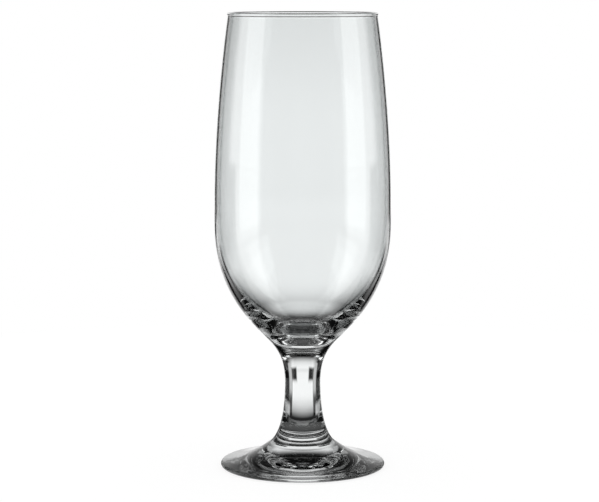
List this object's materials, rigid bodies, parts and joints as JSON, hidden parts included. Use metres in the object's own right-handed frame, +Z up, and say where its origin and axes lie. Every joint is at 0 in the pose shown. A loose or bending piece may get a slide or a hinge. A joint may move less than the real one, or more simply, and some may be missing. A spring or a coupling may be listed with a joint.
{
  "type": "beer goblet",
  "caption": "Tall footed beer goblet in clear glass: slender egg-shaped bowl with a beaded rim, short waisted solid stem and round spreading foot.",
  "frame": {"origin": "on the axis of the glass, in the plane that its foot stands on", "axes": "+Z up along the axis of revolution, towards the rim; X and Y are equal directions across the glass"},
  "size_m": [0.0686, 0.0686, 0.177],
  "materials": {
    "bowl_glass": "clear soda-lime glass, blown and fire-polished",
    "stem_glass": "clear soda-lime glass, pressed and fire-polished",
    "foot_glass": "clear soda-lime glass, pressed and fire-polished"
  },
  "bodies": {
    "root": {"bowl": "bowl_glass", "stem": "stem_glass", "foot": "foot_glass"}
  },
  "joints": []
}
